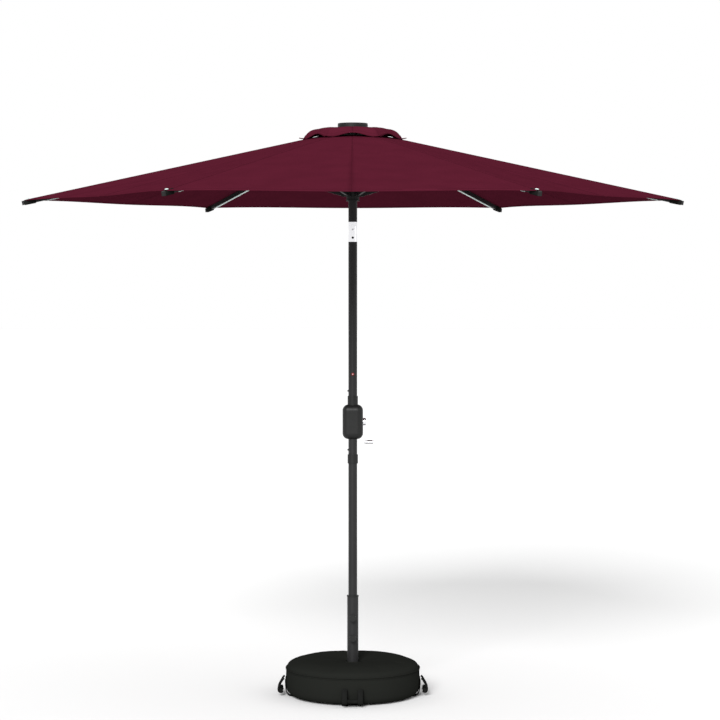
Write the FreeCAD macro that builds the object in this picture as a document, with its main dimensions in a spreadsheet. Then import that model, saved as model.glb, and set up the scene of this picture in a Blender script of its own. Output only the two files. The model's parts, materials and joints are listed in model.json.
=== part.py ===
"""Crank-lift patio umbrella with a tilting head, standing in a sand-filled round base.

Millimetres, +Z up. The origin is on the ground, on the pole's axis. The head tilts towards -X and the crank
is on the +X side. Rib 1 points along +X and the others follow every 60 degrees.
"""
import FreeCAD, Part
import math
import os
import re

# Driving dimensions: alias, value, what it is.
SIZES = (
    ("bag_radius", 290.0, "outside of the weight bag"),
    ("bag_top", 145.0, "height of the bag's top panel"),
    ("bag_skin", 1.5, "thickness of the bag's cloth"),
    ("bag_top_round", 34.0, "rounding of the bag's shoulder"),
    ("bag_foot_round", 20.0, "rounding of the bag's lower edge"),
    ("soft_gap", 0.3, "room between a soft piece and its neighbour"),
    ("webbing", 3.0, "thickness of the webbing"),
    ("webbing_width", 25.0, "width of the webbing"),
    ("webbing_offset", 33.5, "each strap's distance from the handle's middle"),
    ("strap_height", 82.0, "top of the straps on the wall"),
    ("strap_tuck", 60.0, "length of strap under the bag"),
    ("handle_height", 76.0, "height of the handles' fold"),
    ("handle_drop", 50.0, "fold to grip"),
    ("handle_angle", 17.0, "how far a handle stands off the wall, degrees"),
    ("handle_grip_radius", 9.5, "grip of a handle"),
    ("handle_leg_width", 20.0, "webbing of a handle's legs"),
    ("plate_radius", 200.0, "steel plate inside the bag"),
    ("plate_thickness", 4.0, "steel plate inside the bag"),
    ("stand_radius", 24.15, "outside of the stand tube"),
    ("stand_wall", 1.5, "wall of the stand tube"),
    ("stand_top", 425.0, "top of the stand tube"),
    ("weld", 4.8, "weld round the foot of the stand tube"),
    ("bush_lip", 6.0, "height of the top bush's lip"),
    ("bush_lip_radius", 25.6, "outside of the top bush's lip"),
    ("bush_depth", 62.0, "length of a bush inside the tube"),
    ("bush_gap", 0.1, "room between bush and tube"),
    ("knob_height_low", 249.0, "height of the lower clamping knob"),
    ("knob_height_high", 336.0, "height of the upper clamping knob"),
    ("knob_radius", 14.5, "clamping knob"),
    ("knob_depth", 15.0, "clamping knob, along its screw"),
    ("knob_groove_radius", 4.0, "finger groove of a clamping knob"),
    ("knob_groove_place", 16.2, "finger grooves from the knob's middle"),
    ("knob_screw_radius", 4.0, "screw of a clamping knob"),
    ("boss_radius", 9.0, "threaded boss welded to the stand tube"),
    ("boss_length", 8.0, "threaded boss, out from the tube"),
    ("screw_gap", 0.06, "running room of a screw, pin or shaft in its hole"),
    ("pole_radius", 19.0, "outside of the pole"),
    ("pole_wall", 1.2, "wall of the pole"),
    ("slide_gap", 0.15, "room between the pole and what it slides in"),
    ("pole_joint", 1022.0, "height where the two pole sections meet"),
    ("spigot_length", 70.0, "swaged end inside the lower section"),
    ("sleeve_radius", 22.5, "sleeve over the pole joint"),
    ("sleeve_length", 38.5, "sleeve over the pole joint"),
    ("button_radius", 4.0, "spring button"),
    ("button_proud", 4.5, "how far a spring button stands out"),
    ("button_dome", 2.8, "rounding of a spring button's end"),
    ("button_foot", 6.4, "foot of a spring button, inside the pole"),
    ("button_low", 1061.5, "height of the lower spring button"),
    ("button_high", 1317.0, "height of the upper spring button"),
    ("switch_height", 1390.0, "height of the light switch"),
    ("switch_radius", 5.5, "light switch"),
    ("switch_proud", 2.5, "how far the light switch stands out"),
    ("switch_foot", 7.7, "foot of the light switch, inside the pole"),
    ("housing_width", 88.7, "crank housing, side to side"),
    ("housing_depth", 76.0, "crank housing, front to back"),
    ("housing_length", 149.0, "crank housing, bottom to top"),
    ("housing_middle", 1183.0, "height of the crank housing's middle"),
    ("housing_wall", 3.0, "wall of the crank housing"),
    ("housing_round", 26.0, "rounding of the crank housing"),
    ("neck_length", 37.0, "neck above the crank housing"),
    ("housing_screw_x", 31.0, "housing screws from the middle"),
    ("housing_screw_z", 50.0, "housing screws from the middle"),
    ("post_radius", 6.0, "screw post inside the housing"),
    ("screw_radius", 1.5, "housing screw"),
    ("screw_head_radius", 3.4, "head of a housing screw"),
    ("screw_head_length", 2.4, "head of a housing screw"),
    ("screw_start", 22.0, "front of the housing to the end of a screw"),
    ("screw_sink", 16.0, "back of the housing to a screw's head"),
    ("screw_room", 0.1, "room between a housing screw and its hole"),
    ("split_gap", 0.05, "room between the housing's halves"),
    ("axle_radius", 4.0, "crank axle"),
    ("axle_room", 1.0, "room round the axle where it isn't carried"),
    ("axle_tail", 6.0, "axle beyond the far side of the pole"),
    ("bush_wall", 2.9, "wall of the crank bush"),
    ("bush_inside", 4.0, "crank bush beyond the housing's wall"),
    ("bush_flange", 2.0, "flange of the crank bush"),
    ("spool_clearance", 1.9, "rims of the cord spool to the pole's bore"),
    ("spool_core", 8.0, "core of the cord spool"),
    ("spool_width", 16.0, "cord spool"),
    ("spool_rim", 2.0, "thickness of the cord spool's rims"),
    ("crank_boss_radius", 17.0, "boss of the crank"),
    ("crank_boss_length", 11.5, "boss of the crank"),
    ("crank_throw", 88.0, "axle to grip"),
    ("crank_arm_width", 14.0, "crank arm"),
    ("crank_arm_thickness", 5.0, "crank arm"),
    ("crank_arm_inset", 1.0, "crank arm behind the face of its boss"),
    ("grip_radius", 8.5, "crank grip"),
    ("grip_length", 33.0, "crank grip"),
    ("grip_pin_radius", 3.0, "pin that carries the grip"),
    ("grip_end", 2.0, "closed end of the grip"),
    ("fork_base", 1963.0, "top of the pole, where the tilt fork starts"),
    ("pivot_height", 2017.0, "height of the tilt pivot"),
    ("tongue_half", 8.4, "half the thickness of the tilt tongue"),
    ("fork_inside", 8.8, "half the gap of the tilt fork"),
    ("fork_crown", 17.5, "round end of the fork's ears"),
    ("fork_floor", 22.0, "pivot down to the floor of the fork's gap"),
    ("tongue_end", 15.0, "round end of the tongue"),
    ("head_foot", 32.0, "pivot up to the head tube's lower end"),
    ("tilt_pin_radius", 4.0, "tilt pivot pin"),
        ("plug_length", 45.0, "length of a plug inside a tube"),
    ("tilt_button_drop", 36.0, "pivot down to the tilt button"),
    ("tilt_button_radius", 5.0, "tilt button"),
    ("collar", 3.0, "collar under the head tube"),
    ("hinge_radius", 35.0, "rib hinges from the axis"),
    ("hinge_height", 2433.0, "height of the rib hinges"),
    ("hub_radius", 28.0, "body of the crown hub"),
    ("hub_half", 15.0, "half the height of the crown hub"),
    ("head_tube_reach", 12.0, "head tube beyond the rib hinges"),
    ("lug_reach", 7.0, "lug beyond its pin"),
    ("lug_half_height", 8.0, "half the height of a lug"),
    ("lug_inside", 5.2, "half the gap between two lugs"),
    ("lug_thickness", 3.0, "one lug"),
    ("lug_root", 2.0, "part of a lug inside its body"),
    ("pin_radius", 2.5, "hinge pins"),
    ("tongue_width", 9.6, "flat tongue of a rib or strut"),
    ("eye_radius", 6.2, "round end of a tongue"),
    ("rib_slope", 12.2, "slope of an open rib, degrees"),
    ("rib_length", 1422.0, "hinge to the end of the rib's tube"),
    ("rib_width", 12.0, "rib tube"),
    ("rib_height", 18.0, "rib tube"),
    ("rib_wall", 1.0, "wall of a rib or strut"),
    ("rib_start", 20.0, "hinge to the start of the rib's tube"),
    ("tip_length", 9.0, "end cap of a rib"),
    ("light_start", 540.0, "hinge to the start of the light strip"),
    ("light_length", 780.0, "light strip"),
    ("light_width", 8.0, "light strip"),
    ("light_thickness", 3.0, "light strip"),
    ("strut_place", 500.0, "hinge to the strut's bracket, along the rib"),
    ("strut_drop", 18.0, "rib's middle line down to the strut's pin"),
    ("bracket_length", 16.0, "strut bracket, along the rib"),
    ("bracket_wall", 2.5, "strut bracket"),
    ("bracket_reach", 6.0, "strut bracket beyond its pin"),
    ("strut_width", 10.0, "strut tube"),
    ("strut_height", 14.0, "strut tube"),
    ("runner_height", 2162.0, "height of the runner when open"),
    ("runner_half", 22.0, "half the height of the runner"),
    ("runner_pin_rise", 5.0, "runner's middle up to the strut pins"),
    ("runner_lip", 3.0, "foot flange of the runner beyond its body"),
    ("runner_lip_height", 5.0, "foot flange of the runner"),
    ("runner_radius", 27.0, "body of the runner"),
    ("runner_pin_radius", 43.0, "strut pins from the axis"),
    ("runner_gap", 0.4, "room between the runner and the pole"),
    ("fabric", 1.5, "thickness of the canopy cloth"),
    ("fabric_lift", 1.1, "top of a rib up to the cloth's ridge"),
    ("corner_inset", 0.89, "canopy's corners short of the ends of the rib tubes"),
    ("hem_sag", 42.0, "how far the hem curves in between two ribs"),
    ("vent_hole", 150.0, "axis to the corners of the vent hole"),
    ("vent_radius", 229.0, "axis to the corners of the vent cap"),
    ("vent_inner", 62.5, "inside of the vent cap's panels"),
    ("vent_sag", 8.0, "how far the vent cap's hem curves in"),
    ("seam_gap", 0.3, "room between two panels"),
    ("puck_radius", 65.0, "solar light housing"),
    ("puck_height", 22.0, "solar light housing"),
    ("puck_edge", 3.0, "rounding of the solar light"),
    ("puck_base", 2455.0, "underside of the solar light housing"),
    ("solar_radius", 50.0, "solar cell"),
    ("solar_thickness", 1.5, "solar cell"),
)
NAMES = {alias for alias, value, note in SIZES}
RIBS = 6
HEXAGON_FLAT = math.cos(math.radians(30))
HANDLES = ("right", "back", "left", "front")
X_AXIS, Y_AXIS, Z_AXIS = FreeCAD.Vector(1, 0, 0), FreeCAD.Vector(0, 1, 0), FreeCAD.Vector(0, 0, 1)
ALONG = {
    "z": FreeCAD.Rotation(),
    "x": FreeCAD.Rotation(Y_AXIS, 90),
    "y": FreeCAD.Rotation(X_AXIS, -90),
}

doc = FreeCAD.newDocument("patio_umbrella")
sheet = doc.addObject("Spreadsheet::Sheet", "Sizes")
for row, (alias, value, note) in enumerate(SIZES, start=1):
    sheet.set(f"A{row}", note)
    sheet.set(f"B{row}", str(value))
    sheet.setAlias(f"B{row}", alias)
doc.recompute()
subparts = []


def size(alias):
    """A driving dimension, read from the sheet."""
    return float(sheet.get(alias))


def linked(text):
    """An expression in which every alias points at the sheet."""
    return re.sub(r"[a-z_]+", lambda m: "Sizes." + m.group() if m.group() in NAMES else m.group(), text)


def bind(thing, **expressions):
    for name, text in expressions.items():
        thing.setExpression(name.replace("__", "."), linked(text))


def placed(thing, x, y, z):
    bind(thing, Placement__Base__x=x, Placement__Base__y=y, Placement__Base__z=z)
    return thing


def cylinder(radius, height, x="0", y="0", z="0", along="z"):
    """A cylinder that starts at x, y, z and runs along one axis."""
    thing = doc.addObject("Part::Cylinder", "Cylinder")
    thing.Placement.Rotation = ALONG[along]
    bind(thing, Radius=radius, Height=height)
    return placed(thing, x, y, z)


def cone(radius_low, radius_high, height, z):
    thing = doc.addObject("Part::Cone", "Cone")
    bind(thing, Radius1=radius_low, Radius2=radius_high, Height=height)
    return placed(thing, "0", "0", z)


def block(length, width, height, x, z, y=None):
    """A box that starts at x and z, and is centred on Y unless y says where it starts."""
    thing = doc.addObject("Part::Box", "Block")
    bind(thing, Length=length, Width=width, Height=height)
    return placed(thing, x, y or f"-({width}) / 2", z)


def fuse(*pieces):
    thing = doc.addObject("Part::MultiFuse", "Fuse")
    thing.Shapes = list(pieces)
    return thing


def cut(base, *tools):
    thing = doc.addObject("Part::Cut", "Cut")
    thing.Base = base
    thing.Tool = tools[0] if len(tools) == 1 else fuse(*tools)
    return thing


def common(base, tool):
    thing = doc.addObject("Part::Common", "Common")
    thing.Base, thing.Tool = base, tool
    return thing


def group(*pieces):
    """Separate solids that share one node."""
    thing = doc.addObject("Part::Compound", "Group")
    thing.Links = list(pieces)
    return thing


def rounded(base, radius, wanted):
    """The edges that wanted accepts, rounded."""
    doc.recompute()
    thing = doc.addObject("Part::Fillet", "Rounded")
    thing.Base = base
    thing.Edges = [(i, radius, radius) for i, edge in enumerate(base.Shape.Edges, start=1) if wanted(edge)]
    return thing


def circle_at(height):
    """Picks the full circles at one height."""
    def wanted(edge):
        box = edge.BoundBox
        return box.ZLength < 0.001 and abs(box.ZMin - height) < 0.001
    return wanted


def subpart(label, thing, placement=None):
    """Names a finished piece and puts it in its place."""
    thing.Label = label
    if placement:
        thing.Placement = placement
    subparts.append(thing)
    return thing


def tube(radius, wall, start, end):
    """A round tube on the pole's axis."""
    return cut(cylinder(radius, f"{end} - ({start})", z=start),
               cylinder(f"{radius} - {wall}", f"{end} - ({start})", z=start))


def turned(angle):
    return FreeCAD.Placement(FreeCAD.Vector(), FreeCAD.Rotation(Z_AXIS, angle))


# --- base -----------------------------------------------------------------------------------------

BAG_FLOOR = "(webbing + soft_gap)"
PLATE_TOP = f"({BAG_FLOOR} + bag_skin + soft_gap + plate_thickness)"


def bag_block(inset):
    """The bag's rounded outline, inset on every side."""
    base = cylinder(f"bag_radius - ({inset})", f"bag_top - {BAG_FLOOR} - 2 * ({inset})",
                    z=f"{BAG_FLOOR} + {inset}")
    doc.recompute()
    low, high = base.Shape.BoundBox.ZMin, base.Shape.BoundBox.ZMax
    depth = size("bag_radius") - base.Shape.BoundBox.XMax
    foot = rounded(base, size("bag_foot_round") - depth, circle_at(low))
    return rounded(foot, size("bag_top_round") - depth, circle_at(high))


def make_weight_bag():
    collar = cylinder("stand_radius + soft_gap", "bag_top", z=PLATE_TOP)
    subpart("weight_bag", cut(bag_block("0"), bag_block("bag_skin"), collar))


def make_sand_fill():
    plate = cylinder("plate_radius + soft_gap", f"{PLATE_TOP} + soft_gap")
    core = cylinder("stand_radius + weld + soft_gap", "bag_top")
    subpart("sand_fill", cut(bag_block("bag_skin + soft_gap"), plate, core))


def make_base_plate():
    subpart("base_plate", cylinder("plate_radius", "plate_thickness", z=f"{BAG_FLOOR} + bag_skin + soft_gap"))


def make_stand_tube():
    """The tube on its weld, with a threaded boss for each clamping knob."""
    outside = fuse(
        cylinder("stand_radius", f"stand_top - {PLATE_TOP}", z=PLATE_TOP),
        cone("stand_radius + weld", "stand_radius", "weld", PLATE_TOP),
        *(cylinder("boss_radius", "boss_length + stand_wall", z=height, along="y",
                   y="-stand_radius - boss_length")
          for height in ("knob_height_low", "knob_height_high")))
    bores = [cylinder("stand_radius - stand_wall", "stand_top", z=PLATE_TOP)]
    bores += [cylinder("knob_screw_radius + screw_gap", "stand_radius + boss_length", z=height, along="y",
                       y="-stand_radius - boss_length")
              for height in ("knob_height_low", "knob_height_high")]
    subpart("stand_tube", cut(outside, *bores))


def make_pole_bushes():
    """A lipped bush in the mouth of the stand tube and a plain one near its foot."""
    outside = "stand_radius - stand_wall - bush_gap"
    top = cut(fuse(cylinder(outside, "bush_depth", z="stand_top - bush_depth"),
                   cylinder("bush_lip_radius", "bush_lip", z="stand_top")),
              cylinder("pole_radius + slide_gap", "bush_depth + bush_lip", z="stand_top - bush_depth"))
    foot = cut(cylinder(outside, "bush_depth", z=f"{PLATE_TOP} + bush_lip"),
               cylinder("pole_radius + slide_gap", "bush_depth", z=f"{PLATE_TOP} + bush_lip"))
    subpart("pole_bushes", group(top, foot))


def make_knob(label, height):
    """A lobed plastic knob on the screw that clamps the pole."""
    face = "-stand_radius - boss_length - soft_gap"
    head = cylinder("knob_radius", "knob_depth", y=f"{face} - knob_depth", z=height, along="y")
    grooves = []
    for lobe in range(6):
        angle = math.radians(60 * lobe)
        groove = cylinder("knob_groove_radius", "knob_depth", along="y", y=f"{face} - knob_depth",
                          x=f"knob_groove_place * {math.cos(angle):.4f}",
                          z=f"{height} + knob_groove_place * {math.sin(angle):.4f}")
        grooves.append(groove)
    screw = cylinder("knob_screw_radius", "stand_radius + boss_length + soft_gap - pole_radius - slide_gap",
                     y=face, z=height, along="y")
    subpart(label, fuse(cut(head, *grooves), screw))


def make_bag_straps():
    """Two straps at each handle, down the wall and tucked under the bag."""
    straps = []
    for quarter in range(len(HANDLES)):
        for side in ("-1", "1"):
            start = f"{side} * webbing_offset - webbing_width / 2"
            strap = fuse(
                block("webbing", "webbing_width", "strap_height", "bag_radius + soft_gap", "0", y=start),
                block("strap_tuck + webbing + soft_gap", "webbing_width", "webbing",
                      "bag_radius - strap_tuck", "0", y=start))
            strap.Placement = turned(90 * quarter)
            straps.append(strap)
    subpart("bag_straps", group(*straps))


def make_handle(quarter, name):
    """A carrying loop: two webbing legs and a round grip, folded down over its straps."""
    legs = [block("webbing", "handle_leg_width", "handle_drop", "-webbing / 2", "-handle_drop",
                  y=f"{side} * webbing_offset - handle_leg_width / 2") for side in ("-1", "1")]
    grip = cylinder("handle_grip_radius", "2 * webbing_offset + webbing_width", along="y",
                    y="-webbing_offset - webbing_width / 2", z="-handle_drop")
    fold = FreeCAD.Vector(size("bag_radius") + 3 * size("soft_gap") + 1.5 * size("webbing"), 0,
                          size("handle_height"))
    lean = FreeCAD.Placement(fold, FreeCAD.Rotation(Y_AXIS, -size("handle_angle")))
    subpart(f"handle_{name}", fuse(grip, *legs), turned(90 * quarter).multiply(lean))


# --- pole -----------------------------------------------------------------------------------------

POLE_BORE = "(pole_radius - pole_wall)"
HOUSING_TOP = "(housing_middle + housing_length / 2)"


def make_lower_pole():
    subpart("lower_pole", tube("pole_radius", "pole_wall", f"{PLATE_TOP} + soft_gap", "pole_joint"))


def make_pole_sleeve():
    subpart("pole_sleeve", tube("sleeve_radius", "(sleeve_radius - pole_radius - slide_gap)",
                                "pole_joint - sleeve_length / 2", "pole_joint + sleeve_length / 2"))


def make_upper_pole():
    """The upper section with its spigot, and the holes for axle, buttons and switch."""
    spigot = f"{POLE_BORE} - screw_gap"
    spigot_start = "pole_joint - spigot_length + 2 * pole_wall"
    body = fuse(
        cut(cylinder("pole_radius", "fork_base - pole_joint", z="pole_joint"),
            cylinder(POLE_BORE, "fork_base - pole_joint", z="pole_joint")),
        cut(cylinder(spigot, "spigot_length", z=spigot_start),
            cylinder(f"{spigot} - pole_wall", "spigot_length", z=spigot_start)),
        cut(cylinder("pole_radius", "pole_wall", z="pole_joint"),
            cylinder(f"{spigot} - pole_wall", "pole_wall", z="pole_joint")))
    holes = [
        cylinder("axle_radius + axle_room", "2 * pole_radius", x="-pole_radius", z="housing_middle",
                 along="x"),
        cylinder("button_radius + screw_gap", "pole_radius", x="-pole_radius", z="button_low", along="x"),
        cylinder("button_radius + screw_gap", "pole_radius", x="-pole_radius", z="button_high", along="x"),
        cylinder("switch_radius + screw_gap", "pole_radius", y="-pole_radius", z="switch_height", along="y"),
    ]
    subpart("upper_pole", cut(body, *holes))


def make_spring_button(label, height):
    """A domed pin that snaps out through the pole."""
    stem = cylinder("button_radius", "button_proud + 4 * pole_wall", x="-pole_radius - button_proud",
                    z=height, along="x")
    foot = cylinder("button_foot", "pole_wall", x="-pole_radius + 3 * pole_wall", z=height, along="x")
    doc.recompute()
    outer = stem.Shape.BoundBox.XMin

    def end_edge(edge):
        return edge.BoundBox.XLength < 0.001 and abs(edge.BoundBox.XMin - outer) < 0.001

    subpart(label, fuse(rounded(stem, size("button_dome"), end_edge), foot))


def make_light_switch():
    subpart("light_switch", fuse(
        cylinder("switch_radius", "switch_proud + 4 * pole_wall", y="-pole_radius - switch_proud",
                 z="switch_height", along="y"),
        cylinder("switch_foot", "pole_wall", y=f"-{POLE_BORE} + 2 * pole_wall", z="switch_height",
                 along="y")))


def housing_block(inset):
    """The rounded outline of the crank housing, inset on every side."""
    base = block(f"housing_width - 2 * {inset}", f"housing_depth - 2 * {inset}",
                 f"housing_length - 2 * {inset}", f"-housing_width / 2 + {inset}",
                 f"housing_middle - housing_length / 2 + {inset}")
    doc.recompute()
    depth = size("housing_width") / 2 - base.Shape.BoundBox.XMax
    return rounded(base, size("housing_round") - depth, lambda edge: True)


def at_screws(radius, length, start):
    """A cylinder along Y at each of the housing's four screws."""
    return [cylinder(radius, length, x=f"{side} * housing_screw_x", y=start, along="y",
                     z=f"housing_middle + {end} * housing_screw_z") for side in (-1, 1) for end in (-1, 1)]


def make_housing():
    """Two half shells around the pole, split on the plane of the crank, with a neck above."""
    posts = at_screws("post_radius", "housing_depth", "-housing_depth / 2")
    outline = housing_block("0")
    neck = cylinder("sleeve_radius", "neck_length + housing_wall", z=f"{HOUSING_TOP} - housing_wall")
    shell = fuse(cut(outline, housing_block("housing_wall")), common(fuse(*posts), outline), neck)
    screw_holes = at_screws("screw_radius + screw_room", "housing_depth",
                            "-housing_depth / 2 + screw_start - post_radius")
    screw_heads = at_screws("screw_head_radius + 2 * screw_room", "housing_depth / 2",
                            "housing_depth / 2 - screw_sink")
    pole_room = cylinder("pole_radius + slide_gap", "2 * housing_length", z="housing_middle - housing_length")
    bush_room = cylinder("axle_radius + bush_wall + bush_gap", "housing_width", z="housing_middle", along="x")
    tail_room = cylinder("axle_radius + axle_room", "housing_width / 2", along="x", z="housing_middle",
                         x="-housing_width / 2 + housing_wall")
    hollow = cut(shell, pole_room, bush_room, tail_room, *screw_holes, *screw_heads)
    for label, start in (("housing_front", "-housing_depth"), ("housing_back", "split_gap")):
        half = block("2 * housing_width", "housing_depth", "2 * housing_length", "-housing_width",
                     "housing_middle - housing_length", y=start)
        subpart(label, common(hollow, half))


def make_housing_screws():
    shanks = at_screws("screw_radius", "housing_depth - screw_start - screw_sink",
                       "-housing_depth / 2 + screw_start")
    heads = at_screws("screw_head_radius", "screw_head_length", "housing_depth / 2 - screw_sink")
    subpart("housing_screws", group(*(fuse(shank, head) for shank, head in zip(shanks, heads))))


def make_crank_bush():
    subpart("crank_bush", cut(
        fuse(cylinder("axle_radius + bush_wall", "housing_wall + bush_inside", along="x",
                      x="housing_width / 2 - housing_wall - bush_inside", z="housing_middle"),
             cylinder("axle_radius + bush_wall + bush_flange", "bush_flange", along="x", z="housing_middle",
                      x="housing_width / 2 - housing_wall - bush_inside - bush_flange")),
        cylinder("axle_radius + screw_gap", "housing_width", z="housing_middle", along="x")))


def make_crank():
    """Spool and axle, the arm with its boss, and the free-turning grip."""
    boss_start = "(housing_width / 2 + soft_gap)"
    rims = [cylinder(f"sqrt({POLE_BORE} ^ 2 - spool_width ^ 2 / 4) - spool_clearance", "spool_rim", x=x,
                     z="housing_middle", along="x")
            for x in ("-spool_width / 2", "spool_width / 2 - spool_rim")]
    core = cylinder("spool_core", "spool_width", x="-spool_width / 2", z="housing_middle", along="x")
    axle = cylinder("axle_radius", f"{boss_start} + pole_radius + axle_tail", x="-pole_radius - axle_tail",
                    z="housing_middle", along="x")
    subpart("crank_spool", fuse(core, axle, *rims))
    arm_start = f"({boss_start} + crank_boss_length - crank_arm_thickness - crank_arm_inset)"
    boss = cylinder("crank_boss_radius", "crank_boss_length", x=boss_start, z="housing_middle", along="x")
    arm = block("crank_arm_thickness", "crank_arm_width", "crank_throw", arm_start,
                "housing_middle - crank_throw")
    end = cylinder("crank_arm_width / 2", "crank_arm_thickness", x=arm_start,
                   z="housing_middle - crank_throw", along="x")
    pin = cylinder("grip_pin_radius", "grip_length + crank_arm_thickness - grip_end", x=arm_start,
                   z="housing_middle - crank_throw", along="x")
    subpart("crank_arm", fuse(boss, arm, end, pin))
    grip_start = f"{arm_start} + crank_arm_thickness + soft_gap"
    grip = cylinder("grip_radius", "grip_length", x=grip_start, z="housing_middle - crank_throw", along="x")
    bore = cylinder("grip_pin_radius + screw_gap", "grip_length - grip_end + soft_gap", x=grip_start,
                    z="housing_middle - crank_throw", along="x")
    subpart("crank_grip", cut(grip, bore))


# --- tilt joint -----------------------------------------------------------------------------------


def make_tilt_fork():
    """The lower fitting: a plug in the pole, a round body and two ears."""
    body = fuse(
        cylinder(f"{POLE_BORE} - screw_gap", "plug_length", z="fork_base - plug_length"),
        cylinder("pole_radius", "pivot_height - fork_base", z="fork_base"),
        common(cylinder("pole_radius", "fork_crown", z="pivot_height"),
               cylinder("fork_crown", "2 * pole_radius", y="-pole_radius", z="pivot_height", along="y")))
    gap = block("3 * pole_radius", "2 * fork_inside", "2 * fork_floor", "-1.5 * pole_radius",
                "pivot_height - fork_floor")
    pin = cylinder("tilt_pin_radius + screw_gap", "3 * pole_radius", y="-1.5 * pole_radius",
                   z="pivot_height", along="y")
    button = cylinder("tilt_button_radius + screw_gap", "pole_radius", y="-pole_radius",
                      z="pivot_height - tilt_button_drop", along="y")
    subpart("tilt_fork", cut(body, gap, pin, button))


def make_tilt_pin():
    """A rivet that ends flush with the pole, because the runner slides over it."""
    shaft = cylinder("tilt_pin_radius", "2 * pole_radius", y="-pole_radius", z="pivot_height", along="y")
    outside = cylinder("pole_radius", "2 * fork_crown", z="pivot_height - fork_crown")
    subpart("tilt_pin", common(shaft, outside))


def make_tilt_button():
    """The release button, with a face that follows the pole's curve."""
    button = cylinder("tilt_button_radius", "pole_radius / 2", y="-pole_radius", along="y",
                      z="pivot_height - tilt_button_drop")
    outside = cylinder("pole_radius", "pivot_height - fork_base", z="fork_base")
    subpart("tilt_button", common(button, outside))


def make_tilt_tongue():
    """The upper fitting: a plug in the head tube and the tongue between the ears."""
    body = fuse(
        cylinder(f"{POLE_BORE} - screw_gap", "plug_length", z="pivot_height + head_foot"),
        common(cylinder("pole_radius", "head_foot", z="pivot_height"),
               block("2 * pole_radius", "2 * tongue_half", "head_foot", "-pole_radius", "pivot_height")),
        cylinder("tongue_end", "2 * tongue_half", y="-tongue_half", z="pivot_height", along="y"),
        cylinder("pole_radius", "collar", z="pivot_height + head_foot - collar"))
    pin = cylinder("tilt_pin_radius + screw_gap", "2 * pole_radius", y="-pole_radius", z="pivot_height",
                   along="y")
    subpart("tilt_tongue", cut(body, pin))


# --- head -----------------------------------------------------------------------------------------


def make_lugs(core, pin_at, height):
    """The lugs of one body, as pieces made at +X and copied round the axis."""
    pair = group(*(block(f"{pin_at} + lug_reach - {core} + lug_root", "lug_thickness", "2 * lug_half_height",
                         f"{core} - lug_root", f"{height} - lug_half_height", y=start)
                   for start in ("lug_inside", "-lug_inside - lug_thickness")))
    doc.recompute()
    return around(pair)


def around(thing):
    """Copies of a piece at every rib."""
    copies = []
    for number in range(RIBS):
        copy = doc.addObject("Part::Compound", "Around")
        copy.Links = [thing]
        copy.Placement = turned(60 * number)
        copies.append(copy)
    return copies


def make_head_tube():
    subpart("head_tube", tube("pole_radius", "pole_wall", "pivot_height + head_foot",
                              "hinge_height + head_tube_reach"))


def make_hub():
    """The crown that carries the ribs, closed on top under the solar light."""
    body = fuse(cylinder("hub_radius", "2 * hub_half", z="hinge_height - hub_half"),
                *make_lugs("hub_radius", "hinge_radius", "hinge_height"))
    bore = cylinder("pole_radius + slide_gap", "hub_half + head_tube_reach", z="hinge_height - hub_half")
    pins = around(cylinder("pin_radius", "4 * (lug_inside + lug_thickness)", x="hinge_radius",
                           y="-2 * (lug_inside + lug_thickness)", z="hinge_height", along="y"))
    subpart("hub", cut(body, bore, *pins))


def make_hub_pins():
    pin = cylinder("pin_radius", "2 * (lug_inside + lug_thickness + soft_gap)", x="hinge_radius",
                   y="-lug_inside - lug_thickness - soft_gap", z="hinge_height", along="y")
    subpart("hub_pins", group(*around(pin)))


def make_vent_disc():
    """The cloth patch in the middle of the vent cap, inside the flats of its six panels."""
    subpart("vent_disc", cylinder(f"vent_inner * {HEXAGON_FLAT:.4f} - soft_gap",
                                  "puck_base - hinge_height - hub_half - 2 * soft_gap",
                                  z="hinge_height + hub_half + soft_gap"))


def make_solar_light():
    """The round solar light on top, and the cell let into it."""
    body = cylinder("puck_radius", "puck_height", z="puck_base")
    doc.recompute()
    eased = rounded(body, size("puck_edge"), circle_at(size("puck_base") + size("puck_height")))
    seat = cylinder("solar_radius + soft_gap", "solar_thickness",
                    z="puck_base + puck_height - solar_thickness")
    subpart("solar_housing", cut(eased, seat))
    subpart("solar_panel", cylinder("solar_radius", "solar_thickness",
                                    z="puck_base + puck_height - solar_thickness"))


def make_runner():
    """The sliding ring that the struts push against."""
    pin_height = "runner_height + runner_pin_rise"
    stubs = [cylinder("pin_radius", "lug_thickness + bush_gap", x="runner_pin_radius", y=start, z=pin_height,
                      along="y") for start in ("lug_inside - bush_gap", "-lug_inside - lug_thickness")]
    body = fuse(cylinder("runner_radius", "2 * runner_half", z="runner_height - runner_half"),
                cylinder("runner_radius + runner_lip", "runner_lip_height", z="runner_height - runner_half"),
                *make_lugs("runner_radius", "runner_pin_radius", pin_height),
                *around(group(*stubs)))
    subpart("runner", cut(body, cylinder("pole_radius + runner_gap", "2 * runner_half",
                                         z="runner_height - runner_half")))


# --- ribs, struts and canopy ----------------------------------------------------------------------


def rib_place(number):
    """The frame of an open rib: X along it, from its hinge."""
    hinge = FreeCAD.Vector(size("hinge_radius"), 0, size("hinge_height"))
    slope = FreeCAD.Placement(hinge, FreeCAD.Rotation(Y_AXIS, size("rib_slope")))
    return turned(60 * number).multiply(slope)


def strut_ends():
    """The strut's pins at azimuth zero: on the rib and on the runner."""
    slope = math.radians(size("rib_slope"))
    place, drop = size("strut_place"), size("strut_drop")
    outer = FreeCAD.Vector(size("hinge_radius") + place * math.cos(slope) - drop * math.sin(slope), 0,
                           size("hinge_height") - place * math.sin(slope) - drop * math.cos(slope))
    inner = FreeCAD.Vector(size("runner_pin_radius"), 0, size("runner_height") + size("runner_pin_rise"))
    return outer, inner


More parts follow.
